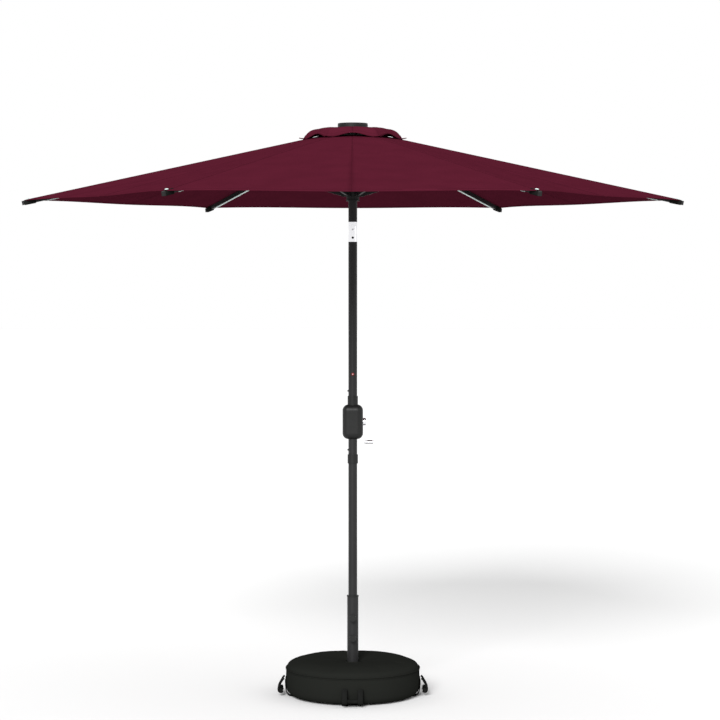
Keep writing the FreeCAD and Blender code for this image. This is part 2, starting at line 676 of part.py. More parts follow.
def make_rib(number):
    """A rectangular tube."""
    length = "rib_length - rib_start"
    subpart(f"rib_{number + 1}", cut(
        block(length, "rib_width", "rib_height", "rib_start", "-rib_height / 2"),
        block(length, "rib_width - 2 * rib_wall", "rib_height - 2 * rib_wall", "rib_start",
              "-rib_height / 2 + rib_wall")), rib_place(number))


def make_rib_fittings(number):
    """What is fixed to a rib: hinge tongue, strut bracket with its pin, light strip and end cap."""
    eye = cylinder("pin_radius + screw_gap", "2 * tongue_width", y="-tongue_width", along="y")
    tongue = cut(fuse(cylinder("eye_radius", "tongue_width", y="-tongue_width / 2", along="y"),
                      block("2.5 * rib_start", "tongue_width", "2 * eye_radius", "0", "-eye_radius")), eye)
    ears = [block("bracket_length", "bracket_wall", "strut_drop - rib_height / 2 + bracket_reach",
                  "strut_place - bracket_length / 2", "-strut_drop - bracket_reach", y=start)
            for start in ("lug_inside", "-lug_inside - bracket_wall")]
    bridge = block("bracket_length", "2 * (lug_inside + bracket_wall)", "rib_wall * 2",
                   "strut_place - bracket_length / 2", "-rib_height / 2 - 2 * rib_wall")
    pin = cylinder("pin_radius", "2 * (lug_inside + bracket_wall + soft_gap)", x="strut_place",
                   y="-lug_inside - bracket_wall - soft_gap", z="-strut_drop", along="y")
    strip = block("light_length", "light_width", "light_thickness", "light_start",
                  "-rib_height / 2 - light_thickness")
    cap = block("tip_length", "rib_width + 2 * rib_wall", "rib_height", "rib_length", "-rib_height / 2")
    fittings = group(tongue, fuse(bridge, pin, *ears), strip, cap)
    subpart(f"rib_fittings_{number + 1}", fittings, rib_place(number))


def make_strut(number):
    """A flat tube with an eye at each end, from the rib's bracket to the runner."""
    outer, inner = strut_ends()
    reach = inner.sub(outer)
    length = reach.Length
    angle = math.degrees(math.atan2(-reach.z, -reach.x))
    span = f"{length:.4f} - 4 * eye_radius"
    far = f"-{length:.4f} + 2 * eye_radius"
    body = block(span, "strut_width", "strut_height", far, "-strut_height / 2")
    hollow = block(span, "strut_width - 2 * rib_wall", "strut_height - 2 * rib_wall", far,
                   "-strut_height / 2 + rib_wall")
    eyes, holes = [], []
    for x, plate_start in (("0", "-2.5 * eye_radius"), (f"-{length:.4f}", f"-{length:.4f}")):
        eyes.append(cylinder("eye_radius", "tongue_width", x=x, y="-tongue_width / 2", along="y"))
        eyes.append(block("2.5 * eye_radius", "tongue_width - 2 * rib_wall", "2 * (eye_radius - screw_gap)",
                          plate_start, "-eye_radius + screw_gap"))
        holes.append(cylinder("pin_radius + screw_gap", "2 * tongue_width", x=x, y="-tongue_width",
                              along="y"))
    lean = FreeCAD.Placement(outer, FreeCAD.Rotation(Y_AXIS, -angle))
    subpart(f"strut_{number + 1}", cut(fuse(cut(body, hollow), *eyes), *holes),
            turned(60 * number).multiply(lean))


def gore(inner, outer, sag, top, slope, thickness):
    """A kite of cloth folded over one rib: two flat halves that end halfway to the next ribs."""
    half = math.radians(30)
    back = size("seam_gap") / 2

    def spot(radius, side):
        """A corner on the halfway line, set back from it by half the seam's gap."""
        x = radius * math.cos(half) + back * math.sin(half)
        y = radius * math.sin(half) - back * math.cos(half)
        return height_at(x, side * y)

    def height_at(x, y):
        return FreeCAD.Vector(x, y, top - slope * (x + abs(y) * math.tan(half)))

    halves = []
    for side in (-1, 1):
        corners = [height_at(inner, 0), height_at(outer, 0), spot(outer * math.cos(half) - sag, side),
                   spot(inner * math.cos(half), side)]
        face = Part.Face(Part.makePolygon(corners + corners[:1]))
        halves.append(face.extrude(FreeCAD.Vector(0, 0, thickness)))
    return halves[0].fuse(halves[1]).removeSplitter().Solids[0]


def make_canopy_gore(number):
    """One rib's share of the canopy, and of the vent cap above it."""
    angle = math.radians(size("rib_slope"))
    slope, rise = math.tan(angle), size("rib_height") / 2 / math.cos(angle)
    corner = size("hinge_radius") + size("rib_length") * math.cos(angle) - size("corner_inset")
    main_top = size("hinge_height") + slope * size("hinge_radius") + rise + size("fabric_lift")
    main = gore(size("vent_hole"), corner, size("hem_sag"), main_top, slope, size("fabric"))
    vent_low = main_top - slope * size("vent_radius") + size("fabric") + size("soft_gap")
    vent_high = size("puck_base") - 2 * size("soft_gap") - size("fabric")
    vent_slope = (vent_high - vent_low) / (size("vent_radius") - size("vent_inner"))
    vent = gore(size("vent_inner"), size("vent_radius"), size("vent_sag"),
                vent_high + vent_slope * size("vent_inner"), vent_slope, size("fabric"))
    cloth = doc.addObject("Part::Feature", "Cloth")
    cloth.Shape = Part.Compound([main, vent])
    subpart(f"canopy_gore_{number + 1}", cloth, turned(60 * number))


def main():
    make_weight_bag()
    make_sand_fill()
    make_base_plate()
    make_stand_tube()
    make_pole_bushes()
    make_bag_straps()
    make_knob("knob_lower", "knob_height_low")
    make_knob("knob_upper", "knob_height_high")
    for quarter, name in enumerate(HANDLES):
        make_handle(quarter, name)
    make_lower_pole()
    make_pole_sleeve()
    make_upper_pole()
    make_spring_button("snap_button_lower", "button_low")
    make_spring_button("snap_button_upper", "button_high")
    make_light_switch()
    make_housing()
    make_housing_screws()
    make_crank_bush()
    make_crank()
    make_tilt_fork()
    make_tilt_pin()
    make_tilt_button()
    make_tilt_tongue()
    make_head_tube()
    make_hub()
    make_hub_pins()
    make_vent_disc()
    make_solar_light()
    make_runner()
    for number in range(RIBS):
        make_rib(number)
        make_rib_fittings(number)
        make_strut(number)
        make_canopy_gore(number)
    doc.recompute()
    failed = [thing.Label for thing in doc.Objects if {"Invalid", "Error"} & set(thing.State)]
    broken = [thing.Label for thing in subparts if thing.Shape.isNull() or not thing.Shape.isValid()]
    if failed or broken:
        raise RuntimeError(f"failed objects {failed}, broken shapes {broken}")
    os.makedirs("parts", exist_ok=True)
    for thing in subparts:
        thing.Shape.exportStep(f"parts/{thing.Label}.step")
        print(thing.Label, len(thing.Shape.Solids), "solids", round(thing.Shape.Volume / 1000, 1), "cm3")


main()
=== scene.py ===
"""Looks of a crank-lift patio umbrella, built round its frame.

Metres, +Z up. The canopy, vent cap, weight bag, straps and handles are sewn here; the tubes,
joints and fittings come from the frame and get their finishes. Rib 1 points along +X and the
others follow every 60 degrees.
"""

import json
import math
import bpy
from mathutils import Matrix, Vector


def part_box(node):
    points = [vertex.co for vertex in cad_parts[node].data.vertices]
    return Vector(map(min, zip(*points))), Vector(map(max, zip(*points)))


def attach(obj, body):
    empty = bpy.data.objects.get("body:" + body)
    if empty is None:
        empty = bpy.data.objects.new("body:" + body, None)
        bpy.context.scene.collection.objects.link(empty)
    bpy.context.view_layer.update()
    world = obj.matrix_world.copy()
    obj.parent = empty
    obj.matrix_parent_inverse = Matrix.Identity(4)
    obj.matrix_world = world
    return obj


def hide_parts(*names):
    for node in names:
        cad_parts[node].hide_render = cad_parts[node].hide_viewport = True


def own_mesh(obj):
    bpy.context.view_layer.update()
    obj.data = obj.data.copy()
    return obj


bl_info = {
    "name": "Patio umbrella",
    "version": (1, 0, 0),
    "blender": (4, 5, 0),
    "location": "View3D > Sidebar > Umbrella",
    "description": "Sews the canopy and the weight bag of a patio umbrella and finishes its frame",
    "category": "Object",
}

import bmesh
import bpy
from bpy.props import FloatProperty, FloatVectorProperty, IntProperty, PointerProperty
from mathutils import Matrix, Vector, noise

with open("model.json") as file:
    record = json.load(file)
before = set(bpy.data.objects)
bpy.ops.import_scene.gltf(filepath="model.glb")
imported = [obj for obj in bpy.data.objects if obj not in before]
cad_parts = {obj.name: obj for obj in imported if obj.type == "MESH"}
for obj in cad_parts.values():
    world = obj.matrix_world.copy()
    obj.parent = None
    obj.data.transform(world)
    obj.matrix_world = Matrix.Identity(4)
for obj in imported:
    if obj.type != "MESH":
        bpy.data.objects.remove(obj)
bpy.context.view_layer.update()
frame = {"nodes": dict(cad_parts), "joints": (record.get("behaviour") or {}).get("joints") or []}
JOINTS = {joint["name"]: Vector(joint["pos_m"]) for joint in frame["joints"] if "pos_m" in joint}
RIBS = range(1, 7)
RIB_STEP = 60
HANDLES = ("right", "back", "left", "front")
HANDLE_STEP = 90
HALF = math.radians(RIB_STEP / 2)
GORE_SHARE = math.sin(HALF) * math.cos(HALF)  # half a gore's width over the radius of its corner
HEM_LAYERS = 3
HINGE = JOINTS["rib_hinge_1"]
CORNER = Vector((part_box("canopy_gore_1")[1].x, 0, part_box("canopy_gore_1")[0].z))
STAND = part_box("stand_tube")
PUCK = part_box("solar_housing")
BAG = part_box("weight_bag")
HOUSING_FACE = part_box("housing_front")[1].x


# --- sizes and colours ----------------------------------------------------------------------------


def length(name, description, default):
    return FloatProperty(name=name, description=description, default=default, unit="LENGTH", precision=4)


def colour(name, description, default):
    return FloatVectorProperty(name=name, description=description, default=default, subtype="COLOR",
                               min=0, max=1)


class CanopySizes(bpy.types.PropertyGroup):
    slope: FloatProperty(name="Slope", description="Slope of an open rib", default=math.radians(12.2),
                         subtype="ANGLE")
    cloth: length("Cloth", "Thickness of the cloth", 0.0009)
    hole: length("Vent hole", "Axis to the corners of the vent hole", 0.150)
    curve: length("Hem curve", "How far the hem curves in between two ribs", 0.042)
    sag: length("Sag", "How far the cloth dips between two ribs", 0.012)
    ripple: length("Ripple", "Height of the cloth's slight ripples", 0.003)
    hem: length("Hem", "Width of the sewn hem", 0.020)
    seam: length("Seam", "Width of the seam along a rib", 0.012)
    gathered: FloatProperty(name="Gathered", description="Share of its width that a folded gore keeps",
                            default=0.13, min=0.02, max=1)
    tint: colour("Cloth colour", "Woven canopy cloth", (0.0540, 0.0066, 0.0145))


class VentSizes(bpy.types.PropertyGroup):
    radius: length("Radius", "Axis to the corners of the vent cap", 0.215)
    inside: length("Inside", "Axis to the inner corners of its panels", 0.060)
    curve: length("Hem curve", "How far its hem curves in", 0.008)
    lift: length("Lift", "How far its hem rises between its corners", 0.020)
    tab: length("Tab", "Length of its corner tabs", 0.018)
    gathered: FloatProperty(name="Gathered", description="Share of its width that its folded panel keeps",
                            default=0.5, min=0.02, max=1)


class BaseSizes(bpy.types.PropertyGroup):
    seam_height: length("Seam height", "Height of the piped seam", 0.1190)
    crown: length("Crown", "Height of the bag's filled top", 0.1525)
    piping: length("Piping", "Radius of the piping", 0.0026)
    webbing: length("Webbing", "Thickness of the webbing", 0.0026)
    webbing_width: length("Webbing width", "Width of the straps", 0.025)
    strap_offset: length("Strap offset", "Each strap from the handle's middle", 0.0335)
    grip: length("Grip", "Radius of a handle's rolled grip", 0.0088)
    tint: colour("Bag colour", "Coated cloth of the bag", (0.0098, 0.0104, 0.0092))
    webbing_tint: colour("Webbing colour", "Straps and handles", (0.0082, 0.0085, 0.0080))


class FrameFinish(bpy.types.PropertyGroup):
    pole_tint: colour("Pole colour", "Powder coat of the pole", (0.0120, 0.0120, 0.0123))
    rib_tint: colour("Rib colour", "Powder coat of ribs and struts", (0.0080, 0.0080, 0.0083))
    plastic_tint: colour("Plastic colour", "Moulded fittings", (0.0080, 0.0082, 0.0080))
    switch_tint: colour("Switch colour", "Light switch", (0.2200, 0.0080, 0.0120))
    light_tint: colour("Light colour", "Cover of the light strips", (0.4200, 0.5000, 0.4800))
    light_start: length("Light start", "Rib hinge to the start of its light strip", 0.540)
    light_length: length("Light length", "Light strip", 0.780)
    lamps: IntProperty(name="Lamps", description="Lamps on one light strip", default=16, min=1)


# --- finishes -------------------------------------------------------------------------------------


def plain(name, tint, roughness, metallic=0.0, gloss=0.2):
    """A material with its shader set, to which the detail is added."""
    finish = bpy.data.materials.new(name)
    finish.use_nodes = True
    shader = finish.node_tree.nodes["Principled BSDF"]
    shader.inputs["Base Color"].default_value = (*tint, 1)
    shader.inputs["Roughness"].default_value = roughness
    shader.inputs["Metallic"].default_value = metallic
    shader.inputs["Specular IOR Level"].default_value = 0.5 if metallic else gloss
    return finish, shader


def add(finish, kind, inputs, **settings):
    """A node whose inputs are numbers or other nodes' outputs."""
    made = finish.node_tree.nodes.new(kind)
    for name, value in settings.items():
        setattr(made, name, value)
    for name, value in inputs.items():
        if isinstance(value, bpy.types.NodeSocket):
            finish.node_tree.links.new(value, made.inputs[name])
        else:
            made.inputs[name].default_value = value
    return made


def join(finish, output, socket):
    finish.node_tree.links.new(output, socket)


def coordinates(finish, woven):
    """Places on a woven piece's own cloth, or in the object."""
    if woven:
        return add(finish, "ShaderNodeUVMap", {}, uv_map="weave").outputs["UV"]
    return add(finish, "ShaderNodeTexCoord", {}).outputs["Object"]


def mottle(finish, shader, place, tint, spread, scale):
    """Colour that varies softly by a share of itself, as worn or dyed surfaces do."""
    cloud = add(finish, "ShaderNodeTexNoise", {"Vector": place, "Scale": scale, "Detail": 6.0})
    ramp = add(finish, "ShaderNodeValToRGB", {"Fac": cloud.outputs["Fac"]})
    ramp.color_ramp.elements[0].position, ramp.color_ramp.elements[1].position = 0.3, 0.7
    for element, share in zip(ramp.color_ramp.elements, (1 - spread, 1 + spread)):
        element.color = (*(min(1, part * share) for part in tint), 1)
    join(finish, ramp.outputs["Color"], shader.inputs["Base Color"])


def uneven_gloss(finish, shader, place, roughness, spread, scale):
    smear = add(finish, "ShaderNodeTexNoise", {"Vector": place, "Scale": scale, "Detail": 4.0})
    spreading = add(finish, "ShaderNodeMapRange", {
        "Value": smear.outputs["Fac"], "To Min": roughness - spread, "To Max": roughness + spread})
    join(finish, spreading.outputs["Result"], shader.inputs["Roughness"])


def raise_by(finish, shader, height, depth):
    bump = add(finish, "ShaderNodeBump", {"Height": height, "Distance": depth, "Strength": 1.0})
    join(finish, bump.outputs["Normal"], shader.inputs["Normal"])


def threads(finish, place, pitch, direction):
    """Rounded threads side by side, one to a pitch."""
    bands = math.pi / 10  # at scale 1 a band of the wave is this wide
    wave = add(finish, "ShaderNodeTexWave", {"Vector": place, "Scale": bands / pitch},
               bands_direction=direction)
    return wave.outputs["Fac"]


def woven_finish(name, tint, roughness, pitch):
    """Plain weave: warp and weft threads that pass over each other."""
    finish, shader = plain(name, tint, roughness, gloss=0)
    place = coordinates(finish, True)
    warp, weft = (threads(finish, place, pitch, way) for way in "XY")
    over = add(finish, "ShaderNodeMath", {0: warp, 1: weft}, operation="MULTIPLY")
    slub = add(finish, "ShaderNodeTexNoise", {"Vector": place, "Scale": 0.3 / pitch, "Detail": 3.0})
    height = add(finish, "ShaderNodeMath", {0: over.outputs[0], 1: slub.outputs["Fac"]}, operation="ADD")
    raise_by(finish, shader, height.outputs[0], depth=pitch / 6)
    mottle(finish, shader, place, tint, spread=0.06, scale=9.0)
    uneven_gloss(finish, shader, place, roughness, spread=0.05, scale=14.0)
    return finish


def webbing_finish(name, tint):
    """Ribbed narrow webbing, with a herringbone of crossing threads."""
    finish, shader = plain(name, tint, roughness=0.75, gloss=0)
    place = coordinates(finish, True)
    ribs = threads(finish, place, pitch=0.0022, direction="Y")
    picks = threads(finish, place, pitch=0.0012, direction="DIAGONAL")
    height = add(finish, "ShaderNodeMath", {0: ribs, 1: picks}, operation="ADD")
    raise_by(finish, shader, height.outputs[0], depth=0.0003)
    mottle(finish, shader, place, tint, spread=0.15, scale=30.0)
    return finish


def powder_coat(name, tint, roughness):
    """Baked powder coat with its fine orange peel."""
    finish, shader = plain(name, tint, roughness)
    place = coordinates(finish, False)
    peel = add(finish, "ShaderNodeTexNoise", {"Vector": place, "Scale": 700.0, "Detail": 2.0})
    raise_by(finish, shader, peel.outputs["Fac"], depth=0.00012)
    mottle(finish, shader, place, tint, spread=0.08, scale=12.0)
    uneven_gloss(finish, shader, place, roughness, spread=0.06, scale=25.0)
    return finish


def moulded(name, tint, roughness):
    """Moulded plastic with a spark-eroded grain."""
    finish, shader = plain(name, tint, roughness)
    place = coordinates(finish, False)
    grain = add(finish, "ShaderNodeTexVoronoi", {"Vector": place, "Scale": 1400.0})
    raise_by(finish, shader, grain.outputs["Distance"], depth=0.00010)
    mottle(finish, shader, place, tint, spread=0.10, scale=18.0)
    uneven_gloss(finish, shader, place, roughness, spread=0.07, scale=30.0)
    return finish


def plated(name, tint, roughness):
    """Polished or zinc-plated metal, with faint drawing lines."""
    finish, shader = plain(name, tint, roughness, metallic=1.0)
    place = coordinates(finish, False)
    stretched = add(finish, "ShaderNodeMapping", {"Vector": place, "Scale": (900.0, 900.0, 30.0)})
    lines = add(finish, "ShaderNodeTexNoise", {"Vector": stretched.outputs["Vector"], "Scale": 1.0})
    raise_by(finish, shader, lines.outputs["Fac"], depth=0.00003)
    uneven_gloss(finish, shader, place, roughness, spread=0.04, scale=40.0)
    return finish


def solar_finish(name):
    """Dark cells between silver conductor lines, under clear resin."""
    finish, shader = plain(name, (0.010, 0.014, 0.035), roughness=0.25)
    place = coordinates(finish, False)
    cell = 0.026
    cells = add(finish, "ShaderNodeTexBrick", {
        "Vector": place, "Scale": 1.0, "Brick Width": cell, "Row Height": cell, "Mortar Size": 0.0006,
        "Color1": (0.009, 0.013, 0.034, 1), "Color2": (0.012, 0.017, 0.042, 1),
        "Mortar": (0.30, 0.31, 0.33, 1)}, offset=0.0)
    join(finish, cells.outputs["Color"], shader.inputs["Base Color"])
    uneven_gloss(finish, shader, place, roughness=0.20, spread=0.05, scale=20.0)
    shader.inputs["Coat Weight"].default_value = 0.8
    return finish


def light_cover(name, tint, roughness):
    """Milky extruded cover of the light strips."""
    finish, shader = plain(name, tint, roughness)
    place = coordinates(finish, False)
    mottle(finish, shader, place, tint, spread=0.04, scale=60.0)
    uneven_gloss(finish, shader, place, roughness, spread=0.05, scale=50.0)
    shader.inputs["Subsurface Weight"].default_value = 0.1
    shader.inputs["Subsurface Radius"].default_value = (0.002, 0.002, 0.002)
    return finish


def finish_named(name):
    """One of the object's finishes, made when it is first asked for."""
    if name in bpy.data.materials and bpy.data.materials[name].get("umbrella"):
        return bpy.data.materials[name]
    scene = bpy.context.scene
    canopy, base, metal = scene.umbrella_canopy, scene.umbrella_base, scene.umbrella_frame
    makers = {  # how it is made, its colour, roughness and thread pitch
        "canopy_cloth": (woven_finish, canopy.tint, 0.82, 0.0011),
        "bag_cloth": (woven_finish, base.tint, 0.60, 0.0014),
        "webbing": (webbing_finish, base.webbing_tint),
        "pole_paint": (powder_coat, metal.pole_tint, 0.42),
        "rib_paint": (powder_coat, metal.rib_tint, 0.45),
        "black_plastic": (moulded, metal.plastic_tint, 0.50),
        "housing_plastic": (moulded, metal.plastic_tint, 0.42),
        "switch_plastic": (moulded, metal.switch_tint, 0.25),
        "chrome": (plated, (0.86, 0.86, 0.88), 0.14),
        "zinc": (plated, (0.60, 0.60, 0.62), 0.32),
        "solar_cell": (solar_finish,),
        "light_cover": (light_cover, metal.light_tint, 0.35),
    }
    maker, *settings = makers[name]
    made = maker(name, *settings)
    made["umbrella"] = True
    return made


# --- making pieces --------------------------------------------------------------------------------


def piece(name, bm, finish, body, sharp=None):
    """Turns a bmesh into a piece that rides on a body of the frame."""
    mesh = bpy.data.meshes.new(name)
    bm.to_mesh(mesh)
    bm.free()
    mesh.shade_smooth()
    if sharp is not None:
        mesh.set_sharp_from_angle(angle=math.radians(sharp))
    mesh.materials.append(finish_named(finish))
    made = bpy.data.objects.new(name, mesh)
    bpy.context.scene.collection.objects.link(made)
    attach(made, body)
    return made


def modify(made, kind, **settings):
    modifier = made.modifiers.new(kind.title(), kind)
    for name, value in settings.items():
        setattr(modifier, name, value)
    return modifier


def bent_grid(along, across, point, cut):
    """A grid laid through point(a, b), with a from 0 to 1 and b from -1 to 1; cut gives its flat pattern."""
    bm = bmesh.new()
    bmesh.ops.create_grid(bm, x_segments=along, y_segments=across, size=1)
    weave = bm.loops.layers.uv.new("weave")
    flat = {corner: ((corner.co.x + 1) / 2, corner.co.y) for corner in bm.verts}
    for face in bm.faces:
        for loop in face.loops:
            loop[weave].uv = cut(*flat[loop.vert])
    for corner, (a, b) in flat.items():
        corner.co = point(a, b)
    return bm


def lathe(outline, steps):
    """An outline of (radius, height) points spun round the vertical."""
    bm = bmesh.new()
    corners = [bm.verts.new((radius, 0, height)) for radius, height in outline]
    edges = [bm.edges.new(pair) for pair in zip(corners, corners[1:])]
    bmesh.ops.spin(bm, geom=corners + edges, cent=(0, 0, 0), axis=(0, 0, 1), angle=math.tau, steps=steps,
                   use_merge=True)
    bmesh.ops.remove_doubles(bm, verts=bm.verts, dist=1e-6)
    bmesh.ops.recalc_face_normals(bm, faces=bm.faces)
    return bm


def rounded_block(size, rounding, at, taper=(1, 1)):
    """A block with rounded edges, drawn in across and in height at its +X end."""
    bm = bmesh.new()
    bmesh.ops.create_cube(bm, size=1)
    bmesh.ops.scale(bm, verts=bm.verts, vec=size)
    for corner in bm.verts:
        if corner.co.x > 0:
            corner.co.y *= taper[0]
            corner.co.z *= taper[1]
    bmesh.ops.bevel(bm, geom=bm.edges, offset=rounding, segments=3, affect="EDGES", profile=0.5,
                    material=-1)
    bmesh.ops.translate(bm, verts=bm.verts, vec=at)
    return bm


def lay_weave(bm):
    """Gives every face its place on the cloth: from above on a top, and round the wall elsewhere."""
    level, least_reach = 0.7, 0.01  # a top's normal points up by more than this share
    weave = bm.loops.layers.uv.new("weave")
    for face in bm.faces:
        middle = face.calc_center_median()
        bearing = math.atan2(middle.y, middle.x)
        reach = max(least_reach, math.hypot(middle.x, middle.y))
        for loop in face.loops:
            spot = loop.vert.co
            if abs(face.normal.z) > level:
                loop[weave].uv = (spot.x, spot.y)
            else:
                swing = (math.atan2(spot.y, spot.x) - bearing + math.pi) % math.tau - math.pi
                loop[weave].uv = ((bearing + swing) * reach, spot.z)


def to_rib(number):
    """Turns what is made at +X to a rib's bearing."""
    return Matrix.Rotation(math.radians(RIB_STEP * (number - 1)), 4, "Z")


def to_handle(quarter):
    """Turns what is made at +X to a handle's bearing."""
    return Matrix.Rotation(math.radians(HANDLE_STEP * quarter), 4, "Z")


def rib_frame(number):
    """The frame of an open rib: X along it from its hinge, Z out of its top."""
    slope = bpy.context.scene.umbrella_canopy.slope
    return to_rib(number) @ Matrix.Translation(HINGE) @ Matrix.Rotation(slope, 4, "Y")


def gather(made, number, keep):
    """Gives a piece of cloth a mesh of its own."""
    across = to_rib(number) @ Vector((0, 1, 0))
    anchor = to_rib(number) @ Vector((CORNER.x, 0, CORNER.z))
    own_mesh(made)


# --- canopy ---------------------------------------------------------------------------------------


def main_height(radius, side):
    """Height of the main cloth's underside on the level line that meets a rib at this radius."""
    sizes = bpy.context.scene.umbrella_canopy
    share = (radius - sizes.hole) / (CORNER.x - sizes.hole)
    dip = sizes.sag * math.sin(math.pi * abs(side) / 2) ** 2 * max(0, share) ** 0.8
    return CORNER.z + math.tan(sizes.slope) * (CORNER.x - radius) - dip


def on_gore(radius, side, height, number):
    """A point of a gore: side is 0 on its rib and 1 halfway to the next one."""
    inward = math.sin(HALF) ** 2 * abs(side)
    across = GORE_SHARE * side
    return to_rib(number) @ Vector((radius * (1 - inward), radius * across, height))


def hem_radius(corner, curve, side):
    """The level line on which a curved hem lies."""
    return corner - curve / math.cos(HALF) * abs(side) * (2 - abs(side))


def make_gore(name, number, start, corner, curve, height, along, across):
    """One rib's share of a hexagon of cloth, with its crease along the rib."""
    def radius(a, b):
        return start + (hem_radius(corner, curve, b) - start) * a

    bm = bent_grid(along, across,
                   lambda a, b: on_gore(radius(a, b), b, height(radius(a, b), a, b), number),
                   lambda a, b: (radius(a, b), radius(a, b) * b * GORE_SHARE))
    return piece(name, bm, "canopy_cloth", f"rib_{number}")


def gore_width(corner):
    return 2 * GORE_SHARE * corner


def kite_area(start, corner, curve, slope):
    """Flat area of a gore's cut, whose hem is a parabola."""
    plan = GORE_SHARE * (corner ** 2 - start ** 2) - corner * curve * 2 / 3
    return plan * math.hypot(1, math.tan(slope) / math.cos(HALF))


class UMBRELLA_OT_canopy(bpy.types.Operator):
    """Sew the six gores of the canopy, one on each rib, with their hems, seams and corner pockets"""
    bl_idname = "umbrella.canopy"
    bl_label = "Canopy"
    RIPPLES = (3, 4, 7)  # how fast they vary along the rib, across it and from gore to gore
    SEAM_TOP, SEAM_LAYERS = 2.2, 1.4  # in thicknesses of the cloth
    POCKET, POCKET_ROUNDING, POCKET_TAPER = (0.052, 0.026, 0.0235), 0.004, (0.62, 0.92)
    POCKET_INSET = 0.024  # from the corner to its middle
    # the pale dome near each corner is a painted highlight on the rib's end
    BUTTON, BUTTON_RISE, BUTTON_INSET = 0.0078, 0.0032, 0.014

    def execute(self, context):
        sizes = context.scene.umbrella_canopy
        for number in RIBS:
            gore = self.cloth(sizes, number)
            # the last of these trims is the pale dome at the corner, a painted highlight
            trim = [self.hem(sizes, number), self.seam(sizes, number), self.pocket(sizes, number),
                    self.button(sizes, number)]
            width = gore_width(CORNER.x)
            area = kite_area(sizes.hole, CORNER.x, sizes.curve, sizes.slope)
            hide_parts(f"canopy_gore_{number}")
        return {"FINISHED"}

    def cloth(self, sizes, number):
        """The gore, with ripples that die out on its rib and where it meets its neighbours."""
        along, across, apart = self.RIPPLES

        def height(radius, a, b):
            spot = Vector((along * radius, across * b, apart * number))
            ripple = sizes.ripple * noise.noise(spot) * math.sin(math.pi * b) ** 2 * a
            return main_height(radius, b) + sizes.cloth + ripple

        gore = make_gore(f"canopy_gore_cloth_{number}", number, sizes.hole, CORNER.x, sizes.curve, height,
                         along=44, across=44)
        modify(gore, "SOLIDIFY", thickness=sizes.cloth, offset=-1)
        gather(gore, number, sizes.gathered)
        return gore

    def hem(self, sizes, number):
        """The turned-up edge, three layers thick."""
        def radius(a, b):
            return hem_radius(CORNER.x, sizes.curve, b) - sizes.hem * (1 - a)

        bm = bent_grid(3, 60, lambda a, b: on_gore(radius(a, b), b, main_height(radius(a, b), b), number),
                       lambda a, b: (a * sizes.hem, b * CORNER.x / 2))
        hem = piece(f"canopy_hem_{number}", bm, "canopy_cloth", f"rib_{number}")
        modify(hem, "SOLIDIFY", thickness=HEM_LAYERS * sizes.cloth, offset=0)
        gather(hem, number, sizes.gathered)
        return hem

    def seam(self, sizes, number):
        """The felled seam that runs down the rib."""
        end = CORNER.x - sizes.hem

        def point(a, b):
            radius = sizes.hole + (end - sizes.hole) * a
            side = b * sizes.seam / 2 / (radius * GORE_SHARE)
            return on_gore(radius, side, main_height(radius, side) + self.SEAM_TOP * sizes.cloth, number)

        bm = bent_grid(60, 4, point, lambda a, b: (a * (end - sizes.hole), b * sizes.seam / 2))
        seam = piece(f"canopy_seam_{number}", bm, "canopy_cloth", f"rib_{number}")
        modify(seam, "SOLIDIFY", thickness=self.SEAM_LAYERS * sizes.cloth, offset=-1)
        gather(seam, number, sizes.gathered)
        return seam

    def pocket(self, sizes, number):
        """The reinforced pocket that holds the rib's end."""
        reach = (CORNER.x - HINGE.x) / math.cos(sizes.slope)
        bm = rounded_block(self.POCKET, self.POCKET_ROUNDING, (reach - self.POCKET_INSET, 0, 0),
                           self.POCKET_TAPER)
        bm.transform(rib_frame(number))
        lay_weave(bm)
        return piece(f"corner_pocket_{number}", bm, "webbing", f"rib_{number}", sharp=40)

    def button(self, sizes, number):
        """A pale dome near the corner: a painted highlight on the rib's end, not a fastener."""
        radius = CORNER.x - self.BUTTON_INSET
        top = main_height(radius, 0) + HEM_LAYERS * sizes.cloth
        bm = domed_head(self.BUTTON, self.BUTTON_RISE, sides=24)
        bm.transform(to_rib(number) @ Matrix.Translation((radius, 0, top))
                     @ Matrix.Rotation(sizes.slope, 4, "Y"))
        return piece(f"corner_painted_highlight_{number}", bm, "light_cover", f"rib_{number}", sharp=50)


